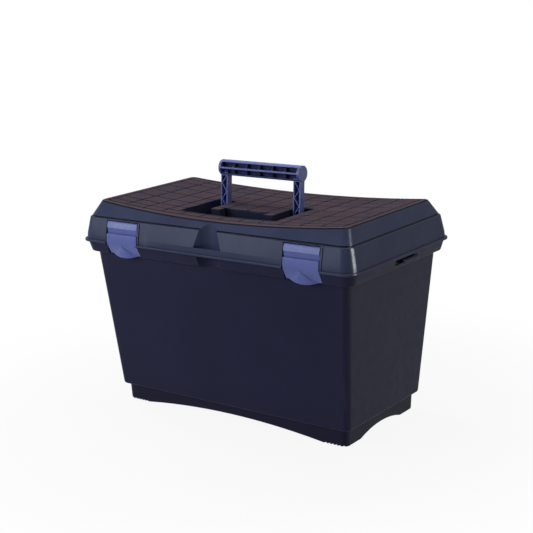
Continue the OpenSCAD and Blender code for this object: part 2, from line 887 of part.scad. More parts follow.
// Side view of a latch, in Y and Z: bands and tab outside, an even wall inside
module latch_plate() {
    y_top = latch_in - hy;
    y_mid = y_top - band_lean;
    y_low = band_in - hy;
    y_tab = tab_in - hy;
    bulge = 0.6;
    edge = 1.2;
    outside = [
        [y_top + edge, latch_top],
        [y_top, latch_top - edge],
        [y_mid, band_z1],
        [y_mid + band_step, band_z1 - band_step / 2],
        [y_mid + band_step / 2, band_z2],
        [y_low, band_z2 - band_step / 2],
        [y_low - bulge, (band_z2 + tab_top) / 2],
        [y_low, tab_top],
        [y_tab, tab_bottom]
    ];
    inside = [
        [y_tab + latch_t, tab_bottom],
        [y_low + latch_t, tab_top],
        [y_mid + band_step + latch_t, band_z2],
        [y_top + latch_t, band_z1],
        [latch_pin_y, latch_pin_z],
        [latch_pin_y, latch_top]
    ];
    along_x(concat(outside, inside), -latch_w / 2, latch_w / 2);
}

// Hook behind the tab that catches under the collar's ridge
module latch_hook() {
    top = catch_bottom - hook_gap;
    tip = catch_y - hook_tip_gap;
    root_y = band_in - hy + (tab_in - band_in) * (tab_top - top) / tab_h;
    along_x(
        [
            [root_y + lap, top],
            [tip, top],
            [tip, top - hook_h / 2],
            [root_y + latch_t, top - hook_h]
        ],
        -tongue_w + lap, tongue_w - lap
    );
}

// Finger tongue: a half cone from the top of the tab to a round lower edge
module latch_tongue() {
    sag = sqrt(tongue_out * tongue_out + tongue_h * tongue_h);
    r = (tongue_w * tongue_w + sag * sag) / (2 * sag);
    lean = atan(tongue_h / tongue_out);
    hull() {
        translate([0, band_in - hy + latch_t / 2, tab_top - latch_t])
            sphere(latch_t / 2, $fn = 16);
        translate([0, tab_in - hy + latch_t / 2, tab_bottom])
            rotate([lean, 0, 0])
                intersection() {
                    translate([0, r - sag, 0])
                        cylinder(r = r, h = latch_t / 2, $fn = 128);
                    translate([-tongue_w, -2 * sag, 0])
                        cube([2 * tongue_w, 2 * sag, latch_t]);
                }
    }
}

module latch(side) {
    color(violet)
        translate([side * latch_x, 0, 0])
            difference() {
                union() {
                    latch_plate();
                    latch_hook();
                    latch_tongue();
                    rod(latch_barrel_r, -latch_w / 2, latch_w / 2, latch_pin_y, latch_pin_z);
                }
                rod(latch_pin_r + pin_fit, -latch_w, latch_w, latch_pin_y, latch_pin_z);
            }
}

// Steel pin through a latch and both cheeks of its pocket
module latch_pin(side) {
    half = pocket_half + wall - lap - pin_fit;
    color(steel)
        rod(latch_pin_r, side * latch_x - half, side * latch_x + half, latch_pin_y, latch_pin_z);
}

// Steel pin through the three knuckles of a hinge
module hinge_pin(side) {
    color(steel)
        rod(hinge_pin_r, side * hinge_x - hinge_half, side * hinge_x + hinge_half, hinge_y, hinge_z);
}

tub();
lid();
tray();
handle();
handle_pin(-1);  // handle_pin_left
handle_pin(1);  // handle_pin_right
latch(-1);  // latch_left
latch(1);  // latch_right
latch_pin(-1);  // latch_pin_left
latch_pin(1);  // latch_pin_right
hinge_pin(-1);  // hinge_pin_left
hinge_pin(1);  // hinge_pin_right
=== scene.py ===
import math
import bmesh
import bpy
from mathutils import Matrix, Vector


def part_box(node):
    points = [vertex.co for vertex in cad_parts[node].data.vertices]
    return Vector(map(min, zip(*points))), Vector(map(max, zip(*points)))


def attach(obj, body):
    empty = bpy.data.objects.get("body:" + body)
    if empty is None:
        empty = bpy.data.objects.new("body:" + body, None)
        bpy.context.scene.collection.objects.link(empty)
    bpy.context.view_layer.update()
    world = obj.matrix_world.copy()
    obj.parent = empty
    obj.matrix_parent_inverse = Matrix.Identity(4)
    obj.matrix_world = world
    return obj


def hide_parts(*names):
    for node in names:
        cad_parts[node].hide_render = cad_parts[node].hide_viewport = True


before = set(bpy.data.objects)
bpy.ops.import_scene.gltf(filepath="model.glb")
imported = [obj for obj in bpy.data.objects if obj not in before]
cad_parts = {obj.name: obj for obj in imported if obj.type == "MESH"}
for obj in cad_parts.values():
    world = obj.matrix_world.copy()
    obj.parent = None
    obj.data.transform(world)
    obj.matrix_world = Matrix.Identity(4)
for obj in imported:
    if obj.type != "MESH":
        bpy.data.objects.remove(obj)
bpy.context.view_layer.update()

MM = 0.001

# Camera: where it stands round the box and what it looks at, in degrees and metres; lens and sensor in mm
CAMERA_AZIMUTH = 36.34
CAMERA_ELEVATION = 13.92
CAMERA_DISTANCE = 1.91486
CAMERA_ROLL = -1.96
CAMERA_TARGET = Vector((0.00504, 0.0, 0.22218))
CAMERA_SENSOR = 36.0
CAMERA_LENS = 83.94

# Tub: its collar and its plinth as the CAD has them, and how far the plinth is drawn out here
COLLAR_FOOT = 248.5 * MM
PLINTH_TOP = 26.0 * MM
PLINTH_CORE_X = 198.0 * MM
PLINTH_CORE_Y = 87.5 * MM
PLINTH_RADIUS = 8.0 * MM
PLINTH_MORE_FOOT = 0.7 * MM
PLINTH_MORE_TOP = 2.3 * MM

# Lid: its heights from the foot up and its dished, tiled top, as the CAD has them
LID_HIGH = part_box("lid")[1]
BEAD_FOOT = 265.3 * MM
BEAD_TOP = 269.3 * MM
KNEE = 277.3 * MM
LEDGE = 303.3 * MM
TILES_LOW = 312.0 * MM
DISH_LOW = 316.6 * MM
DISH_RADIUS = 2300.0 * MM
FIELD_HALF_X = 216.5 * MM
FIELD_HALF_Y = 109.0 * MM
GROOVE_DEEP = 1.2 * MM

# Lid: where its bead, its rim and its bevels are looked for
BEAD_IN = 8.0 * MM
RIM_IN_X = 32.0 * MM
RIM_FROM_Y = 110.0 * MM
RIM_OVER_LEDGE = 9.0 * MM
BEVEL_FROM_X = 220.0 * MM
BEVEL_FROM_Y = 117.0 * MM

# Lid: the forms added here, deeper grooves and a dark gap over the ledge
GROOVE_MORE = 0.7 * MM
SHADOW_HIGH = 2.0 * MM
SHADOW_DEEP = 2.2 * MM

# Thumb scoop: the CAD's round cut, and the share of its width that it keeps at its top and in the collar
SCOOP_AXIS_Y = -154.0 * MM
SCOOP_RADIUS = 30.0 * MM
SCOOP_TOP_SHARE = 0.76
SCOOP_COLLAR_SHARE = 0.88

# Latches: the CAD's crease, bulge and finger tongue, and how far they are moved here
LATCH_X = 165.0 * MM
LATCH_FACE_Y = -133.0 * MM
CREASE_Z = 282.1 * MM
CREASE_IN = 1.0 * MM
BULGE_Z = 273.7 * MM
BULGE_DOWN = 4.0 * MM
BULGE_OUT = 0.7 * MM
TONGUE_LOW = 250.0 * MM
TONGUE_HIGH = 264.0 * MM
TONGUE_HALF = 20.0 * MM
TONGUE_START = 0.3
TONGUE_ROUND = 0.85

# Handle: its pivot, lean and windowed grip as the CAD has them, and how far the ribs are set back here
HANDLE_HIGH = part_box("handle")[1]
PIVOT = Vector((0.0, -1.5 * MM, 301.0 * MM))
HANDLE_LEAN = math.radians(4.5)
ARM = 70.5 * MM
GRIP_RADIUS = 12.2 * MM
DISC_SPAN = 26.0 * MM
WINDOW_ROW = 5.05 * MM
WINDOWS_HALF = 71.0 * MM
RIBS_HALF = 66.0 * MM
RIB_DIP_HIGH = 7.3 * MM
RIB_SETBACK = 4.0 * MM
GRIP_PLACE = (
    Matrix.Translation(PIVOT)
    @ Matrix.Rotation(-HANDLE_LEAN, 4, "X")
    @ Matrix.Translation((0.0, 0.0, ARM))
)
GRIP_MIDDLE = GRIP_PLACE.to_translation()

# How close a point lies to a stated place to belong to it
NEAR = 0.6 * MM
CLOSE = 0.1 * MM
PLINTH_CLOSE = 0.3 * MM
SCOOP_CLOSE = 0.05 * MM
GRIP_CLOSE = 0.2 * MM
MERGE = 0.01 * MM

# Slopes of faces, as the Z of their normals
FACES_UP = 0.9
GROOVE_UP = 0.98
BEVEL_LEAST_UP = 0.3
BEVEL_MOST_UP = 0.8
SKIRT_MOST_UP = 0.5
BEAD_LEAN = 0.1
COLLAR_LEAN = 0.4
BODY_LEAN = 0.3

# Widths of the rounded edges: the general one of each piece, then the wide ones by place
TUB_EDGE = 0.9 * MM
LID_EDGE = 0.35 * MM
TRAY_EDGE = 0.6 * MM
HANDLE_EDGE = 0.5 * MM
LATCH_EDGE = 0.4 * MM
RIM_EDGE = 3.2 * MM
LEDGE_EDGE = 1.5 * MM
BEAD_EDGE = 1.3 * MM
COLLAR_EDGE = 2.4 * MM
DISC_EDGE = 1.2 * MM
FOOT_EDGE = 3.5 * MM
EDGE_STEPS = 2
WIDE_STEPS = 4
EDGE_ANGLE = math.radians(28)
SMOOTH_ANGLE = math.radians(40)
FLATS_WEIGHT = 50

# Grain: how deep it is, and the range of its noise that roughness follows
GRAIN_DEPTH = 0.2 * MM
WIRE_DEPTH = 0.1 * MM
WIRE_LINE_SCALE = 1600.0
WIRE_STRETCH = (0.02, 1.0, 1.0)
TONE_LOW = 0.3
TONE_HIGH = 0.7

# Dust, the darker plinth, and wear with its painted edge highlight: where they lie, and how dull or glossy
# they leave a surface
DUST_AND_RIM_BLUR = 2.0 * MM
DUST_DULL = 0.3
WINDOW_DULL = 0.6
LID_GLOSS = 0.26
PLINTH_DARK_BELOW = 4.0 * MM
PLINTH_DARK_ABOVE = 3.0 * MM
WEAR_AND_SHEEN_PATCH_SCALE = 120.0
WEAR_AND_SHEEN_OPEN_REACH = 4.0 * MM
SCUFF_PLACE_SCALE = 7.0
SCUFF_STRETCH = (1.0, 1.0, 0.07)

# Lines along the rim of the tiles, one of painted shade and a lighter one of wear and a painted highlight:
# the slopes at which each starts, is full, fades and ends
RIM_SHADE_BAND = (0.6, 0.7, 0.86, 0.93)
RIM_LIGHT_BAND = (0.92, 0.96, 0.985, 0.994)

# Studio: the lights' aim, the fill, and how white the floor looks near the box and away from it
LIGHTS_AIM = Vector((0.0, 0.0, 0.25))
WHITE = (1.0, 1.0, 1.0, 1.0)
WORLD_FILL = (0.2, 0.21, 0.23, 1.0)
FLOOR_RADIUS = 6.0
FLOOR_SIDES = 96
FLOOR_FADE_START = 0.3
FLOOR_FADE_END = 0.7
FLOOR_NEAR_WHITE = 0.91
FLOOR_PAINT = (0.5, 0.5, 0.5, 1.0)


def deselect_all():
    """Leaves nothing selected, in object mode."""
    if bpy.context.mode != "OBJECT":
        bpy.ops.object.mode_set(mode="OBJECT")
    bpy.ops.object.select_all(action="DESELECT")


def work_on(piece):
    """Makes one piece the only selected and active one."""
    deselect_all()
    piece.select_set(True)
    bpy.context.view_layer.objects.active = piece


def apply_modifier(piece, name):
    """Applies one modifier of a piece."""
    work_on(piece)
    bpy.ops.object.modifier_apply(modifier=name)


def held_between(value, low, high):
    """A value kept between two limits."""
    return min(max(value, low), high)


# Node trees


def add_node(tree, kind, **settings):
    """Adds a node and sets its properties."""
    node = tree.nodes.new(kind)
    for name, value in settings.items():
        setattr(node, name, value)
    return node


def feed(tree, socket, value):
    """Sets a socket to a plain value, or links another socket to it."""
    if isinstance(value, bpy.types.NodeSocket):
        tree.links.new(value, socket)
    else:
        socket.default_value = value


def math_node(tree, operation, first, second=0.0, clamp=False):
    """One step of arithmetic on values or sockets."""
    node = add_node(tree, "ShaderNodeMath", operation=operation, use_clamp=clamp)
    feed(tree, node.inputs[0], first)
    feed(tree, node.inputs[1], second)
    return node.outputs[0]


def ramp_value(tree, value, low, high, out_low=0.0, out_high=1.0):
    """Maps a value from one range to another, smoothly and clamped."""
    node = add_node(tree, "ShaderNodeMapRange", interpolation_type="SMOOTHSTEP", clamp=True)
    feed(tree, node.inputs["Value"], value)
    feed(tree, node.inputs["From Min"], low)
    feed(tree, node.inputs["From Max"], high)
    feed(tree, node.inputs["To Min"], out_low)
    feed(tree, node.inputs["To Max"], out_high)
    return node.outputs["Result"]


def slope_band(tree, slope, start, full, fading, end):
    """1 where a slope lies in a band, with soft sides."""
    rising = ramp_value(tree, slope, start, full)
    return ramp_value(tree, slope, fading, end, rising, 0.0)


def own_axes(tree, kind):
    """X, Y and Z of a point ("Object") or of its normal ("Normal") in the piece's own coordinates."""
    place = add_node(tree, "ShaderNodeTexCoord")
    axes = add_node(tree, "ShaderNodeSeparateXYZ")
    tree.links.new(place.outputs[kind], axes.inputs[0])
    return axes.outputs


def noise(tree, scale, detail, roughness, stretch=(1.0, 1.0, 1.0)):
    """Noise on Object coordinates; stretch scales the three axes."""
    place = add_node(tree, "ShaderNodeTexCoord")
    mapping = add_node(tree, "ShaderNodeMapping")
    mapping.inputs["Scale"].default_value = stretch
    tree.links.new(place.outputs["Object"], mapping.inputs["Vector"])
    texture = add_node(tree, "ShaderNodeTexNoise")
    tree.links.new(mapping.outputs["Vector"], texture.inputs["Vector"])
    feed(tree, texture.inputs["Scale"], scale)
    texture.inputs["Detail"].default_value = detail
    texture.inputs["Roughness"].default_value = roughness
    return texture.outputs["Fac"]


def mix_color(tree, amount, first, second):
    """Mixes two colours by an amount from 0 to 1."""
    node = add_node(tree, "ShaderNodeMix", data_type="RGBA")
    feed(tree, node.inputs["Factor"], amount)
    feed(tree, node.inputs[6], first)
    feed(tree, node.inputs[7], second)
    return node.outputs[2]


def new_group(name, inputs, outputs):
    """A shader node group with float inputs and outputs; returns its tree, input and output nodes."""
    tree = bpy.data.node_groups.new(name, "ShaderNodeTree")
    for label, value in inputs.items():
        socket = tree.interface.new_socket(label, in_out="INPUT", socket_type="NodeSocketFloat")
        socket.default_value = value
    for label in outputs:
        tree.interface.new_socket(label, in_out="OUTPUT", socket_type="NodeSocketFloat")
    entry = add_node(tree, "NodeGroupInput")
    result = add_node(tree, "NodeGroupOutput")
    return tree, entry, result


def use_group(tree, group, **values):
    """Places a group in a material; the keywords are its inputs with underscores for spaces."""
    node = add_node(tree, "ShaderNodeGroup")
    node.node_tree = group
    for label, value in values.items():
        feed(tree, node.inputs[label.replace("_", " ")], value)
    return node.outputs


def moulded_grain_group():
    """Fine eroded grain of a plastic mould over a softer flow of the surface."""
    inputs = {"Grain Scale": 1500.0, "Flow Scale": 90.0, "Flow Share": 0.4}
    tree, entry, result = new_group("moulded_grain", inputs, ["Height", "Tone"])
    fine = noise(tree, entry.outputs["Grain Scale"], detail=2.0, roughness=0.6)
    flow = noise(tree, entry.outputs["Flow Scale"], detail=3.0, roughness=0.5)
    soft = math_node(tree, "MULTIPLY", flow, entry.outputs["Flow Share"])
    height = math_node(tree, "ADD", fine, soft)
    tree.links.new(height, result.inputs["Height"])
    tree.links.new(flow, result.inputs["Tone"])
    return tree


def cloudy_tone_group():
    """Slow patches of lighter and darker colour, from 0 to 1."""
    tree, entry, result = new_group("cloudy_tone", {"Patch Scale": 9.0}, ["Patch"])
    patch = noise(tree, entry.outputs["Patch Scale"], detail=4.0, roughness=0.55)
    tree.links.new(ramp_value(tree, patch, low=0.32, high=0.68), result.inputs["Patch"])
    return tree


def dust_and_rim_shading_group():
    """Dust on faces that look up, above a height, and two lines along a rounded rim: one of painted shade,
    and a lighter one of wear and a painted highlight.
    """
    inputs = {"Lowest Slope": 0.7, "Highest Slope": 0.97, "Lowest Height": -1.0, "Dust Scale": 60.0}
    tree, entry, result = new_group("dust_and_painted_rim_shading", inputs, ["Dust", "Up", "Rim Light", "Rim Painted Shade"])
    slope = own_axes(tree, "Normal")["Z"]
    height = own_axes(tree, "Object")["Z"]
    level = ramp_value(tree, slope, entry.outputs["Lowest Slope"], entry.outputs["Highest Slope"])
    above = math_node(tree, "SUBTRACT", height, entry.outputs["Lowest Height"])
    raised = ramp_value(tree, above, -DUST_AND_RIM_BLUR, DUST_AND_RIM_BLUR)
    up = math_node(tree, "MULTIPLY", level, raised)
    # The outer band is the painted shade line, the inner band the lighter line of wear and a painted
    # highlight.
    outer = slope_band(tree, slope, *RIM_SHADE_BAND)
    inner = slope_band(tree, slope, *RIM_LIGHT_BAND)
    spots = noise(tree, entry.outputs["Dust Scale"], detail=5.0, roughness=0.62)
    broken = ramp_value(tree, spots, low=0.25, high=0.7, out_low=0.55)
    tree.links.new(math_node(tree, "MULTIPLY", up, broken), result.inputs["Dust"])
    tree.links.new(up, result.inputs["Up"])
    tree.links.new(math_node(tree, "MULTIPLY", inner, raised), result.inputs["Rim Light"])
    tree.links.new(math_node(tree, "MULTIPLY", outer, raised), result.inputs["Rim Painted Shade"])
    return tree


def corner_shade_group():
    """Painted shade: where a surface is shut in by its own corners and grooves, from 0 to 1."""
    inputs = {"Reach": 6.0 * MM, "Low": 0.35, "High": 0.85}
    tree, entry, result = new_group("painted_corner_shade", inputs, ["Grime"])
    shade = add_node(tree, "ShaderNodeAmbientOcclusion", samples=8, only_local=True)
    tree.links.new(entry.outputs["Reach"], shade.inputs["Distance"])
    low = entry.outputs["Low"]
    high = entry.outputs["High"]
    tree.links.new(ramp_value(tree, shade.outputs["AO"], low, high, 1.0, 0.0), result.inputs["Grime"])
    return tree


def sunken_shade_group():
    """Where the lid lies under its dished top, inside the rim, for painted shade in the grooves and the
    handle's recess.
    """
    tree, entry, result = new_group("sunken_shade", {"Shallow": 0.5 * MM, "Deep": 1.1 * MM}, ["Sunk"])
    spot = own_axes(tree, "Object")
    across = math_node(tree, "ABSOLUTE", spot["X"])
    along = math_node(tree, "ABSOLUTE", spot["Y"])
    squared = math_node(tree, "MULTIPLY", across, across)
    rise = math_node(tree, "DIVIDE", squared, 2 * DISH_RADIUS)
    top = math_node(tree, "ADD", rise, DISH_LOW)
    depth = math_node(tree, "SUBTRACT", top, spot["Z"])
    below = ramp_value(tree, depth, entry.outputs["Shallow"], entry.outputs["Deep"])
    inside_x = math_node(tree, "LESS_THAN", across, FIELD_HALF_X)
    inside_y = math_node(tree, "LESS_THAN", along, FIELD_HALF_Y)
    inside = math_node(tree, "MULTIPLY", inside_x, inside_y)
    tree.links.new(math_node(tree, "MULTIPLY", below, inside), result.inputs["Sunk"])
    return tree


def window_depth_group():
    """How deep a point lies in the grip's windows, from 0 at its round surface to 1."""
    tree, entry, result = new_group("window_depth", {"Inner": 8.0 * MM, "Outer": 10.8 * MM}, ["Depth"])
    place = add_node(tree, "ShaderNodeTexCoord")
    away = add_node(tree, "ShaderNodeVectorMath", operation="SUBTRACT")
    tree.links.new(place.outputs["Object"], away.inputs[0])
    away.inputs[1].default_value = GRIP_MIDDLE
    spot = add_node(tree, "ShaderNodeSeparateXYZ")
    tree.links.new(away.outputs[0], spot.inputs[0])
    round_part = add_node(tree, "ShaderNodeCombineXYZ")
    tree.links.new(spot.outputs["Y"], round_part.inputs["Y"])
    tree.links.new(spot.outputs["Z"], round_part.inputs["Z"])
    radius = add_node(tree, "ShaderNodeVectorMath", operation="LENGTH")
    tree.links.new(round_part.outputs[0], radius.inputs[0])
    inner = entry.outputs["Inner"]
    outer = entry.outputs["Outer"]
    deep = ramp_value(tree, radius.outputs["Value"], inner, outer, 1.0, 0.0)
    across = math_node(tree, "ABSOLUTE", spot.outputs["X"])
    inside = math_node(tree, "LESS_THAN", across, WINDOWS_HALF)
    tree.links.new(math_node(tree, "MULTIPLY", deep, inside), result.inputs["Depth"])
    return tree


def edge_wear_and_sheen_group():
    """Rubbed outer edges, which also stand for a painted edge highlight: where a rounded normal leaves the
    true one, broken up by noise.
    """
    inputs = {"Width": 1.2 * MM, "Low": 0.03, "High": 0.16}
    tree, entry, result = new_group("edge_wear_and_sheen", inputs, ["Wear"])
    rounded = add_node(tree, "ShaderNodeBevel", samples=6)
    tree.links.new(entry.outputs["Width"], rounded.inputs["Radius"])
    true_normal = add_node(tree, "ShaderNodeNewGeometry")
    turn = add_node(tree, "ShaderNodeVectorMath", operation="DOT_PRODUCT")
    tree.links.new(rounded.outputs["Normal"], turn.inputs[0])
    tree.links.new(true_normal.outputs["Normal"], turn.inputs[1])
    edge = math_node(tree, "SUBTRACT", 1.0, turn.outputs["Value"])
    mask = ramp_value(tree, edge, entry.outputs["Low"], entry.outputs["High"])
    patches = noise(tree, WEAR_AND_SHEEN_PATCH_SCALE, detail=4.0, roughness=0.6)
    breaks = ramp_value(tree, patches, low=0.3, high=0.62, out_low=0.45)
    shade = add_node(tree, "ShaderNodeAmbientOcclusion", samples=6, only_local=True)
    shade.inputs["Distance"].default_value = WEAR_AND_SHEEN_OPEN_REACH
    outer = ramp_value(tree, shade.outputs["AO"], low=0.75, high=0.97)
    rubbed = math_node(tree, "MULTIPLY", mask, outer)
    tree.links.new(math_node(tree, "MULTIPLY", rubbed, breaks), result.inputs["Wear"])
    return tree


def rubbed_scuffs_group():
    """Thin rubbed lines, long up and down, that come and go."""
    tree, entry, result = new_group("rubbed_scuffs", {"Line Scale": 60.0}, ["Scuff"])
    lines = noise(tree, entry.outputs["Line Scale"], detail=3.0, roughness=0.6, stretch=SCUFF_STRETCH)
    places = noise(tree, SCUFF_PLACE_SCALE, detail=2.0, roughness=0.5)
    thin = ramp_value(tree, lines, low=0.6, high=0.74)
    where = ramp_value(tree, places, low=0.48, high=0.66)
    tree.links.new(math_node(tree, "MULTIPLY", thin, where), result.inputs["Scuff"])
    return tree


GRAIN = moulded_grain_group()
CLOUDS = cloudy_tone_group()
DUST_AND_RIM_SHADING = dust_and_rim_shading_group()
CORNER_SHADE = corner_shade_group()
SUNKEN_SHADE = sunken_shade_group()
WINDOWS = window_depth_group()
WEAR_AND_SHEEN = edge_wear_and_sheen_group()
SCUFFS = rubbed_scuffs_group()


# Materials


def new_material(name):
    """A material, with its node tree and its shader."""
    material = bpy.data.materials.new(name)
    material.use_nodes = True
    shader = material.node_tree.nodes["Principled BSDF"]
    return material, material.node_tree, shader


def clouded(tree, patch_scale, deep, pale):
    """Two tones of one colour, in slow patches."""
    clouds = use_group(tree, CLOUDS, Patch_Scale=patch_scale)
    return mix_color(tree, clouds["Patch"], deep, pale)


def tinted(tree, color, mask, share, toward):
    """A colour drawn towards another by a share of a mask."""
    amount = math_node(tree, "MULTIPLY", mask, share)
    return mix_color(tree, amount, color, toward)


def roughened(tree, tone, smooth, rough):
    """Roughness that follows a noise, between two values."""
    return ramp_value(tree, tone, TONE_LOW, TONE_HIGH, smooth, rough)


def set_surface(tree, shader, color, rough):
    """Links a surface's colour and roughness to its shader."""
    tree.links.new(color, shader.inputs["Base Color"])
    tree.links.new(rough, shader.inputs["Roughness"])


def add_bump(tree, shader, height, strength, distance=GRAIN_DEPTH):
    """Gives a surface its fine relief."""
    bump = add_node(tree, "ShaderNodeBump")
    bump.inputs["Strength"].default_value = strength
    bump.inputs["Distance"].default_value = distance
    tree.links.new(height, bump.inputs["Height"])
    tree.links.new(bump.outputs["Normal"], shader.inputs["Normal"])


def plinth_darkening(tree):
    """Darkening of the plinth, from 1 at its foot to 0 over its top."""
    height = own_axes(tree, "Object")["Z"]
    return ramp_value(tree, height, PLINTH_TOP - PLINTH_DARK_BELOW, PLINTH_TOP + PLINTH_DARK_ABOVE, 1.0, 0.0)


def tub_plastic():
    """Satin blue-black of the tub, with faint drag marks down its faces, a darker plinth, painted shade in
    its corners, and edges lightened as wear and a painted highlight.
    """
    material, tree, shader = new_material("tub_plastic")
    grain = use_group(tree, GRAIN, Grain_Scale=1400.0, Flow_Scale=70.0)
    dust_and_rim = use_group(tree, DUST_AND_RIM_SHADING, Lowest_Height=COLLAR_FOOT)
    shade_in_corners = use_group(tree, CORNER_SHADE, Reach=7.0 * MM)
    wear_and_sheen = use_group(tree, WEAR_AND_SHEEN, Width=1.4 * MM)
    scuffs = use_group(tree, SCUFFS, Line_Scale=45.0)
    plinth_dark = plinth_darkening(tree)
    color = clouded(
        tree, patch_scale=7.0, deep=(0.0141, 0.0150, 0.0376, 1.0), pale=(0.0172, 0.0173, 0.0434, 1.0)
    )
    color = tinted(tree, color, scuffs["Scuff"], share=0.25, toward=(0.045, 0.046, 0.075, 1.0))
    # Edges lightened: wear, and a painted highlight.
    color = tinted(tree, color, wear_and_sheen["Wear"], share=0.18, toward=(0.05, 0.054, 0.085, 1.0))
    color = tinted(tree, color, dust_and_rim["Dust"], share=0.3, toward=(0.05, 0.042, 0.04, 1.0))
    # Painted shade in corners and grooves.
    color = tinted(tree, color, shade_in_corners["Grime"], share=0.75, toward=(0.004, 0.004, 0.008, 1.0))
    # Darker on the plinth, towards its foot.
    color = tinted(tree, color, plinth_dark, share=0.36, toward=(0.006, 0.005, 0.009, 1.0))
    set_surface(tree, shader, color, roughened(tree, grain["Tone"], smooth=0.42, rough=0.52))
    shader.inputs["Specular IOR Level"].default_value = 0.055
    add_bump(tree, shader, grain["Height"], strength=0.12)
    return material


def lid_plastic():
    """Blue-grey of the lid: a thin gloss on its sides, a brown film of dust on the tiles, painted shade in
    its grooves, recess and corners and along its rim, and its rim and edges lightened as wear and a
    painted highlight.
    """
    material, tree, shader = new_material("lid_plastic")
    grain = use_group(tree, GRAIN, Grain_Scale=1200.0, Flow_Scale=60.0)
    dust_and_rim = use_group(tree, DUST_AND_RIM_SHADING, Lowest_Height=TILES_LOW, Dust_Scale=45.0)
    shade_in_corners = use_group(tree, CORNER_SHADE, Reach=5.0 * MM, Low=0.4, High=0.92)
    wear_and_sheen = use_group(tree, WEAR_AND_SHEEN, Width=1.5 * MM)
    scuffs = use_group(tree, SCUFFS, Line_Scale=70.0)
    sunken_shade = use_group(tree, SUNKEN_SHADE)
    color = clouded(
        tree, patch_scale=11.0, deep=(0.030, 0.037, 0.078, 1.0), pale=(0.037, 0.046, 0.092, 1.0)
    )
    color = tinted(tree, color, scuffs["Scuff"], share=0.35, toward=(0.07, 0.08, 0.12, 1.0))
    color = tinted(tree, color, dust_and_rim["Dust"], share=0.92, toward=(0.082, 0.057, 0.060, 1.0))
    # A lighter line along the rim: wear, and a painted highlight.
    color = tinted(tree, color, dust_and_rim["Rim Light"], share=0.6, toward=(0.15, 0.11, 0.11, 1.0))
    # Painted shade along the rim.
    color = tinted(tree, color, dust_and_rim["Rim Painted Shade"], share=0.85, toward=(0.008, 0.007, 0.013, 1.0))
    # Edges lightened: wear, and a painted highlight.
    color = tinted(tree, color, wear_and_sheen["Wear"], share=0.4, toward=(0.11, 0.10, 0.13, 1.0))
    # Painted shade in the grooves and the handle's recess.
    color = tinted(tree, color, sunken_shade["Sunk"], share=0.55, toward=(0.005, 0.004, 0.008, 1.0))
    # Painted shade in corners and grooves.
    color = tinted(tree, color, shade_in_corners["Grime"], share=0.9, toward=(0.004, 0.003, 0.006, 1.0))
    rough = roughened(tree, grain["Tone"], smooth=0.5, rough=0.6)
    dull = math_node(tree, "MULTIPLY", dust_and_rim["Up"], DUST_DULL)
    set_surface(tree, shader, color, math_node(tree, "ADD", rough, dull))
    shader.inputs["Specular IOR Level"].default_value = 0.0
    gloss = ramp_value(tree, dust_and_rim["Up"], low=0.0, high=0.3, out_low=LID_GLOSS, out_high=0.0)
    tree.links.new(gloss, shader.inputs["Coat Weight"])
    shader.inputs["Coat Roughness"].default_value = 0.24
    shader.inputs["Coat IOR"].default_value = 1.4
    add_bump(tree, shader, grain["Height"], strength=0.1)
    return material


def tray_plastic():
    """Dark grey of the lift-out tray, with dust on its floor, and edges lightened as wear and a painted
    highlight.
    """
    material, tree, shader = new_material("tray_plastic")
    grain = use_group(tree, GRAIN, Grain_Scale=1300.0, Flow_Scale=80.0)
    dust_and_rim = use_group(tree, DUST_AND_RIM_SHADING)
    wear_and_sheen = use_group(tree, WEAR_AND_SHEEN, Width=1.2 * MM)
    color = clouded(
        tree, patch_scale=9.0, deep=(0.045, 0.045, 0.058, 1.0), pale=(0.06, 0.06, 0.074, 1.0)
    )
    color = tinted(tree, color, dust_and_rim["Dust"], share=0.45, toward=(0.1, 0.085, 0.075, 1.0))
    # Edges lightened: wear, and a painted highlight.
    color = tinted(tree, color, wear_and_sheen["Wear"], share=0.5, toward=(0.15, 0.15, 0.17, 1.0))
    set_surface(tree, shader, color, roughened(tree, grain["Tone"], smooth=0.44, rough=0.56))
    shader.inputs["Specular IOR Level"].default_value = 0.4
    add_bump(tree, shader, grain["Height"], strength=0.14)
    return material


def violet_plastic():
    """Semi-gloss violet-blue of the handle and the latches, with painted shade and dullness deep in the
    grip's windows, painted shade in corners, and edges lightened as wear and a painted highlight.
    """
    material, tree, shader = new_material("violet_plastic")
    grain = use_group(tree, GRAIN, Grain_Scale=1800.0, Flow_Scale=120.0)
    shade_in_corners = use_group(tree, CORNER_SHADE, Reach=5.0 * MM)
    wear_and_sheen = use_group(tree, WEAR_AND_SHEEN, Width=1.0 * MM)
    scuffs = use_group(tree, SCUFFS, Line_Scale=160.0)
    windows = use_group(tree, WINDOWS)
    color = clouded(
        tree, patch_scale=25.0, deep=(0.072, 0.093, 0.298, 1.0), pale=(0.085, 0.109, 0.330, 1.0)
    )
    color = tinted(tree, color, scuffs["Scuff"], share=0.3, toward=(0.2, 0.22, 0.4, 1.0))
    # Edges lightened: wear, and a painted highlight.
    color = tinted(tree, color, wear_and_sheen["Wear"], share=0.5, toward=(0.3, 0.32, 0.52, 1.0))
    # Painted shade deep in the grip's windows.
    color = tinted(tree, color, windows["Depth"], share=0.92, toward=(0.012, 0.014, 0.045, 1.0))
    # Painted shade in corners and grooves.
    color = tinted(tree, color, shade_in_corners["Grime"], share=0.45, toward=(0.006, 0.007, 0.025, 1.0))
    rough = roughened(tree, grain["Tone"], smooth=0.28, rough=0.36)
    dull = math_node(tree, "MULTIPLY", windows["Depth"], WINDOW_DULL)
    set_surface(tree, shader, color, math_node(tree, "ADD", rough, dull))
    shader.inputs["Specular IOR Level"].default_value = 0.3
    add_bump(tree, shader, grain["Height"], strength=0.08)
    return material


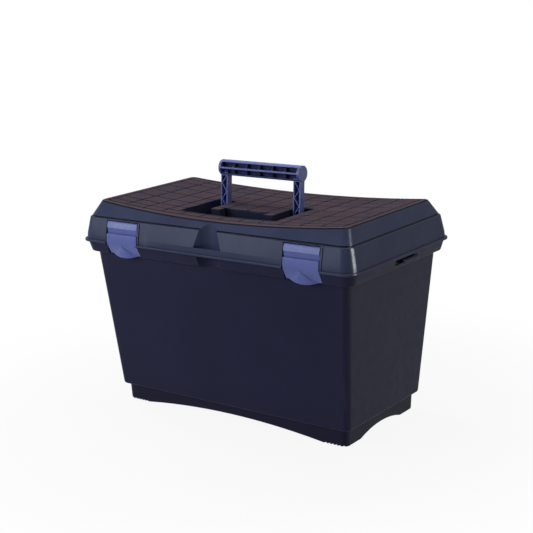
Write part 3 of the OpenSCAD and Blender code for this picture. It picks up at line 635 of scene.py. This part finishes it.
def pin_steel():
    """Drawn wire with fine lines along its length."""
    material, tree, shader = new_material("pin_steel")
    drawn = noise(tree, WIRE_LINE_SCALE, detail=3.0, roughness=0.6, stretch=WIRE_STRETCH)
    color = clouded(tree, patch_scale=60.0, deep=(0.46, 0.46, 0.48, 1.0), pale=(0.6, 0.6, 0.62, 1.0))
    set_surface(tree, shader, color, roughened(tree, drawn, smooth=0.26, rough=0.42))
    shader.inputs["Metallic"].default_value = 1.0
    add_bump(tree, shader, drawn, strength=0.15, distance=WIRE_DEPTH)
    return material


# Places of edges: each test takes an edge's middle and its two faces' normals, the lower one first


def edge_turn(edge):
    """The two faces' normals of an outer edge, the lower one first, or None on an inner or flat one."""
    if len(edge.link_faces) != 2 or not edge.is_convex:
        return None
    if edge.calc_face_angle(0.0) < EDGE_ANGLE:
        return None
    return sorted((face.normal for face in edge.link_faces), key=lambda normal: normal.z)


def at_height(place, height):
    """Whether a point lies at a height."""
    return abs(place.z - height) < NEAR


def slopes_as_bevel(normal):
    """Whether a face has the slope of the lid's bevels."""
    return BEVEL_LEAST_UP < normal.z < BEVEL_MOST_UP


def on_rim(middle, low, high):
    """The outer edge of the dished top, where it meets the bevels."""
    outside = abs(middle.x) > LID_HIGH.x - RIM_IN_X or abs(middle.y) > RIM_FROM_Y
    above = middle.z > LEDGE + RIM_OVER_LEDGE
    return outside and above and high.z > FACES_UP and slopes_as_bevel(low)


def on_ledge(middle, low, high):
    """The outer edge of the ledge over the skirt."""
    return at_height(middle, LEDGE) and high.z > FACES_UP and 0.0 < low.z < SKIRT_MOST_UP


def on_bead(middle, low, high):
    """The two edges of the bead round the lid's foot."""
    at_top = at_height(middle, BEAD_TOP) and high.z > FACES_UP and abs(low.z) < BEAD_LEAN
    at_foot = at_height(middle, BEAD_FOOT) and low.z < -FACES_UP and abs(high.z) < BEAD_LEAN
    outside = abs(middle.x) > LID_HIGH.x - BEAD_IN or abs(middle.y) > LID_HIGH.y - BEAD_IN
    return outside and (at_top or at_foot)


def on_collar(middle, low, high):
    """The lower outer edge of the tub's collar."""
    return at_height(middle, COLLAR_FOOT) and low.z < -FACES_UP and abs(high.z) < COLLAR_LEAN


def on_body_foot(middle, low, high):
    """The lower edge of the tub's body, over the plinth."""
    return at_height(middle, PLINTH_TOP) and low.z < -FACES_UP and abs(high.z) < BODY_LEAN


def on_disc(middle, low, high):
    """The round edges of the grip's two ends."""
    return abs(middle.x) > HANDLE_HIGH.x - NEAR and middle.z > HANDLE_HIGH.z - DISC_SPAN


# Places of faces


def groove_depth(place):
    """How far a point lies under the dished top."""
    sagitta = DISH_RADIUS - math.sqrt(DISH_RADIUS ** 2 - place.x ** 2)
    return DISH_LOW + sagitta - place.z


def on_groove_floor(face):
    """The floor of a groove between the tiles."""
    misses = [abs(groove_depth(vert.co) - GROOVE_DEEP) for vert in face.verts]
    return face.normal.z > GROOVE_UP and max(misses) < CLOSE


def on_bevel(face):
    """The sloping outside of the lid between its ledge and its rim."""
    middle = face.calc_center_median()
    outside = abs(middle.x) > BEVEL_FROM_X or abs(middle.y) > BEVEL_FROM_Y
    return outside and slopes_as_bevel(face.normal) and middle.z > LEDGE


def on_shadow_gap(face):
    """The lowest strip of the bevel, over the ledge."""
    return on_bevel(face) and face.calc_center_median().z < LEDGE + SHADOW_HIGH


# Pieces


def start_editing(piece, kind):
    """Opens a piece in edit mode with nothing selected, and gives its mesh."""
    work_on(piece)
    bpy.ops.object.mode_set(mode="EDIT")
    bpy.ops.mesh.select_mode(type=kind)
    bpy.ops.mesh.select_all(action="DESELECT")
    return bmesh.from_edit_mesh(piece.data)


def edit_faces(piece, is_there):
    """Selects the faces at one place of a piece, and stays in edit mode."""
    mesh = start_editing(piece, "FACE")
    for face in mesh.faces:
        if is_there(face):
            face.select_set(True)
    bmesh.update_edit_mesh(piece.data)


def deepen_grooves(lid):
    """Presses the floors of the grooves between the tiles a little deeper."""
    edit_faces(lid, on_groove_floor)
    bpy.ops.transform.translate(value=(0.0, 0.0, -GROOVE_MORE))
    bpy.ops.object.mode_set(mode="OBJECT")


def sink_shadow_gap(lid):
    """Cuts a strip off the foot of the bevel and pushes it in, as a dark gap over the ledge."""
    edit_faces(lid, on_bevel)
    bpy.ops.mesh.bisect(plane_co=(0.0, 0.0, LEDGE + SHADOW_HIGH), plane_no=(0.0, 0.0, 1.0))
    bpy.ops.object.mode_set(mode="OBJECT")
    edit_faces(lid, on_shadow_gap)
    bpy.ops.mesh.extrude_region_shrink_fatten(TRANSFORM_OT_shrink_fatten={"value": -SHADOW_DEEP})
    bpy.ops.object.mode_set(mode="OBJECT")


def narrow_scoop(piece, foot, share_foot, head, share_head):
    """Narrows the thumb scoop to one share of its width at a height, and to another at a second."""
    for vert in piece.data.vertices:
        away = math.hypot(vert.co.x, vert.co.y - SCOOP_AXIS_Y)
        if abs(away - SCOOP_RADIUS) < SCOOP_CLOSE and foot - NEAR < vert.co.z:
            along = held_between((vert.co.z - foot) / (head - foot), 0.0, 1.0)
            vert.co.x *= share_foot + (share_head - share_foot) * along


def widen_plinth(tub):
    """Draws the plinth's wall out a little, more at its top than at its foot."""
    for vert in tub.data.vertices:
        core = Vector((
            held_between(vert.co.x, -PLINTH_CORE_X, PLINTH_CORE_X),
            held_between(vert.co.y, -PLINTH_CORE_Y, PLINTH_CORE_Y),
            vert.co.z,
        ))
        out = vert.co - core
        if vert.co.z < PLINTH_TOP + CLOSE and abs(out.length - PLINTH_RADIUS) < PLINTH_CLOSE:
            share = vert.co.z / PLINTH_TOP
            more = PLINTH_MORE_FOOT + (PLINTH_MORE_TOP - PLINTH_MORE_FOOT) * share
            vert.co += out.normalized() * more


def shape_tub(tub):
    """Widens the plinth, and narrows the scoop in the collar."""
    widen_plinth(tub)
    narrow_scoop(tub, COLLAR_FOOT, SCOOP_COLLAR_SHARE, BEAD_FOOT, SCOOP_COLLAR_SHARE)


def shape_lid(lid):
    """Deepens the grooves, narrows the scoop towards its top and sinks the gap over the ledge."""
    deepen_grooves(lid)
    narrow_scoop(lid, KNEE, 1.0, LEDGE, SCOOP_TOP_SHARE)
    sink_shadow_gap(lid)


def shape_latch(latch):
    """Leans a latch's bands apart and rounds the top of its finger tongue."""
    for vert in latch.data.vertices:
        if vert.co.y >= LATCH_FACE_Y:
            continue
        middle = math.copysign(LATCH_X, vert.co.x)
        off = vert.co.x - middle
        height = (vert.co.z - TONGUE_LOW) / (TONGUE_HIGH - TONGUE_LOW)
        if abs(vert.co.z - CREASE_Z) < CLOSE:
            vert.co.y += CREASE_IN
        elif abs(vert.co.z - BULGE_Z) < CLOSE:
            vert.co.y -= BULGE_OUT
            vert.co.z -= BULGE_DOWN
        elif TONGUE_START < height < 1.0 and abs(off) < TONGUE_HALF:
            share = min(height, TONGUE_ROUND)
            vert.co.x = middle + off * math.sqrt(1.0 - share ** 2) / (1.0 - share)


def set_back_grip_ribs(handle):
    """Dips the ribs between the grip's windows behind its round surface."""
    to_grip = GRIP_PLACE.inverted()
    for vert in handle.data.vertices:
        place = to_grip @ vert.co
        in_row = abs(abs(place.z) - WINDOW_ROW) < RIB_DIP_HIGH / 2
        on_round = abs(math.hypot(place.y, place.z) - GRIP_RADIUS) < GRIP_CLOSE
        if in_row and on_round and abs(place.x) < RIBS_HALF:
            place.y -= math.copysign(RIB_SETBACK, place.y)
            vert.co = GRIP_PLACE @ place


SHAPERS = {
    "tub": shape_tub,
    "lid": shape_lid,
    "handle": set_back_grip_ribs,
    "latch_left": shape_latch,
    "latch_right": shape_latch,
}


def round_edges(piece, is_there, width):
    """Rounds the outer edges that lie at one place of a piece."""
    mesh = start_editing(piece, "EDGE")
    for edge in mesh.edges:
        turn = edge_turn(edge)
        if turn and is_there((edge.verts[0].co + edge.verts[1].co) / 2, *turn):
            edge.select_set(True)
    bmesh.update_edit_mesh(piece.data)
    bpy.ops.mesh.bevel(
        offset=width, segments=WIDE_STEPS, affect="EDGES", clamp_overlap=False, loop_slide=False
    )
    bpy.ops.object.mode_set(mode="OBJECT")


def dressed_copy(node, name, edge_width, wide_edges=()):
    """A merged copy of a CAD node with its small forms, rounded edges, smooth rounds and flat flats."""
    piece = bpy.data.objects.new(name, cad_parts[node].data.copy())
    bpy.context.scene.collection.objects.link(piece)
    piece.data.materials.clear()
    work_on(piece)
    bpy.ops.object.mode_set(mode="EDIT")
    bpy.ops.mesh.select_all(action="SELECT")
    bpy.ops.mesh.remove_doubles(threshold=MERGE)
    bpy.ops.object.mode_set(mode="OBJECT")
    if node in SHAPERS:
        SHAPERS[node](piece)
    for is_there, width in wide_edges:
        round_edges(piece, is_there, width)
    edges = piece.modifiers.new("edges", "BEVEL")
    edges.width = edge_width
    edges.segments = EDGE_STEPS
    edges.limit_method = "ANGLE"
    edges.angle_limit = EDGE_ANGLE
    edges.use_clamp_overlap = False
    apply_modifier(piece, "edges")
    bpy.ops.object.shade_smooth_by_angle(angle=SMOOTH_ANGLE)
    flats = piece.modifiers.new("flats", "WEIGHTED_NORMAL")
    flats.mode = "FACE_AREA"
    flats.weight = FLATS_WEIGHT
    flats.keep_sharp = True
    apply_modifier(piece, "flats")
    return piece


def hand_over(piece, body, material, node):
    """Gives a piece its finish and its body, and hides the CAD node that it stands for."""
    piece.data.materials.append(material)
    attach(piece, body)
    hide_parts(node)


# Studio


def make_camera():
    """The camera at the photograph's place, turned a little about its own line of sight."""
    azimuth = math.radians(CAMERA_AZIMUTH)
    elevation = math.radians(CAMERA_ELEVATION)
    roll = math.radians(CAMERA_ROLL)
    back = Vector((
        math.sin(azimuth) * math.cos(elevation),
        -math.cos(azimuth) * math.cos(elevation),
        math.sin(elevation),
    ))
    level_right = Vector((0.0, 0.0, 1.0)).cross(back).normalized()
    level_up = back.cross(level_right)
    right = math.cos(roll) * level_right + math.sin(roll) * level_up
    up = math.cos(roll) * level_up - math.sin(roll) * level_right
    camera = bpy.data.cameras.new("camera")
    camera.lens = CAMERA_LENS
    camera.sensor_width = CAMERA_SENSOR
    holder = bpy.data.objects.new("camera", camera)
    bpy.context.scene.collection.objects.link(holder)
    turn = Matrix((right, up, back)).transposed().to_4x4()
    holder.matrix_world = Matrix.Translation(CAMERA_TARGET + back * CAMERA_DISTANCE) @ turn
    bpy.context.scene.camera = holder


def soft_box(name, place, width, height, watts, color):
    """A rectangular soft light that looks at the box."""
    light = bpy.data.lights.new(name, "AREA")
    light.shape = "RECTANGLE"
    light.size = width
    light.size_y = height
    light.energy = watts
    light.color = color
    holder = bpy.data.objects.new(name, light)
    bpy.context.scene.collection.objects.link(holder)
    holder.location = place
    holder.rotation_euler = (LIGHTS_AIM - Vector(place)).to_track_quat("-Z", "Y").to_euler()
    return holder


def make_lights():
    """Three lights for all surfaces, one for matt surfaces only and two for reflections only."""
    warm = (1.0, 0.97, 0.94)
    pale_warm = (1.0, 0.97, 0.95)
    cool = (0.92, 0.96, 1.0)
    pale_cool = (0.94, 0.97, 1.0)
    rosy = (1.0, 0.96, 1.0)
    soft_box("overhead", (0.0, 0.25, 2.0), width=2.0, height=1.6, watts=20.0, color=warm)
    soft_box("front_left", (-1.42, -1.82, 0.95), width=1.8, height=1.2, watts=36.0, color=cool)
    matt = soft_box("back_left", (-2.0, 0.6, 0.8), width=1.0, height=0.6, watts=42.0, color=pale_warm)
    soft_box("right_strip", (1.95, 0.2, 1.5), width=0.22, height=2.3, watts=5.5, color=rosy)
    glint = soft_box("right_glint", (1.95, 0.2, 0.72), width=0.9, height=1.1, watts=150.0, color=pale_cool)
    upper = soft_box("upper_glint", (1.6, 0.2, 1.7), width=0.7, height=0.9, watts=26.0, color=pale_cool)
    matt.visible_glossy = False
    glint.visible_diffuse = False
    upper.visible_diffuse = False


def seen_ray(tree):
    """1 for rays of the camera, of gloss and of glass, 0 for the rest."""
    path = add_node(tree, "ShaderNodeLightPath")
    seen = math_node(tree, "ADD", path.outputs["Is Camera Ray"], path.outputs["Is Glossy Ray"])
    return math_node(tree, "ADD", seen, path.outputs["Is Transmission Ray"], clamp=True)


def make_world():
    """White to the eye and in reflections, and a soft fill for everything else."""
    world = bpy.data.worlds.new("studio")
    bpy.context.scene.world = world
    world.use_nodes = True
    tree = world.node_tree
    background = tree.nodes["Background"]
    color = mix_color(tree, seen_ray(tree), WORLD_FILL, WHITE)
    tree.links.new(color, background.inputs["Color"])


def make_floor():
    """A pale round floor that keeps the shadow and fades to white away from the box."""
    deselect_all()
    bpy.ops.mesh.primitive_circle_add(vertices=FLOOR_SIDES, radius=FLOOR_RADIUS, fill_type="NGON")
    floor = bpy.context.active_object
    floor.name = "floor"
    material = bpy.data.materials.new("pale_floor")
    material.use_nodes = True
    tree = material.node_tree
    tree.nodes.clear()
    result = add_node(tree, "ShaderNodeOutputMaterial")
    paint = add_node(tree, "ShaderNodeBsdfDiffuse")
    paint.inputs["Color"].default_value = FLOOR_PAINT
    glow = add_node(tree, "ShaderNodeEmission")
    glow.inputs["Color"].default_value = WHITE
    place = add_node(tree, "ShaderNodeTexCoord")
    away = add_node(tree, "ShaderNodeVectorMath", operation="LENGTH")
    tree.links.new(place.outputs["Object"], away.inputs[0])
    distance = away.outputs["Value"]
    fade = ramp_value(tree, distance, FLOOR_FADE_START, FLOOR_FADE_END, FLOOR_NEAR_WHITE, 1.0)
    share = math_node(tree, "MULTIPLY", fade, seen_ray(tree))
    mix = add_node(tree, "ShaderNodeMixShader")
    tree.links.new(share, mix.inputs[0])
    tree.links.new(paint.outputs[0], mix.inputs[1])
    tree.links.new(glow.outputs[0], mix.inputs[2])
    tree.links.new(mix.outputs[0], result.inputs["Surface"])
    floor.data.materials.append(material)


make_camera()
make_world()
make_lights()
make_floor()

TUB_FINISH = tub_plastic()
LID_FINISH = lid_plastic()
TRAY_FINISH = tray_plastic()
VIOLET_FINISH = violet_plastic()
STEEL_FINISH = pin_steel()

TUB_EDGES = [(on_collar, COLLAR_EDGE), (on_body_foot, FOOT_EDGE)]
LID_EDGES = [(on_rim, RIM_EDGE), (on_ledge, LEDGE_EDGE), (on_bead, BEAD_EDGE)]
HANDLE_EDGES = [(on_disc, DISC_EDGE)]

tub_shell = dressed_copy("tub", "tub_shell", TUB_EDGE, TUB_EDGES)
lid_shell = dressed_copy("lid", "lid_shell", LID_EDGE, LID_EDGES)
tray_shell = dressed_copy("tray", "tray_shell", TRAY_EDGE)
handle_bail = dressed_copy("handle", "handle_bail", HANDLE_EDGE, HANDLE_EDGES)
hand_over(tub_shell, "tub", TUB_FINISH, "tub")
hand_over(lid_shell, "lid", LID_FINISH, "lid")
hand_over(tray_shell, "tray", TRAY_FINISH, "tray")
hand_over(handle_bail, "handle", VIOLET_FINISH, "handle")
for latch in ("latch_left", "latch_right"):
    latch_plate = dressed_copy(latch, latch + "_plate", LATCH_EDGE)
    hand_over(latch_plate, latch, VIOLET_FINISH, latch)
for node_name, node_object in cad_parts.items():
    if "_pin_" in node_name:
        node_object.data.materials.clear()
        node_object.data.materials.append(STEEL_FINISH)

bpy.context.scene.view_settings.view_transform = "Standard"
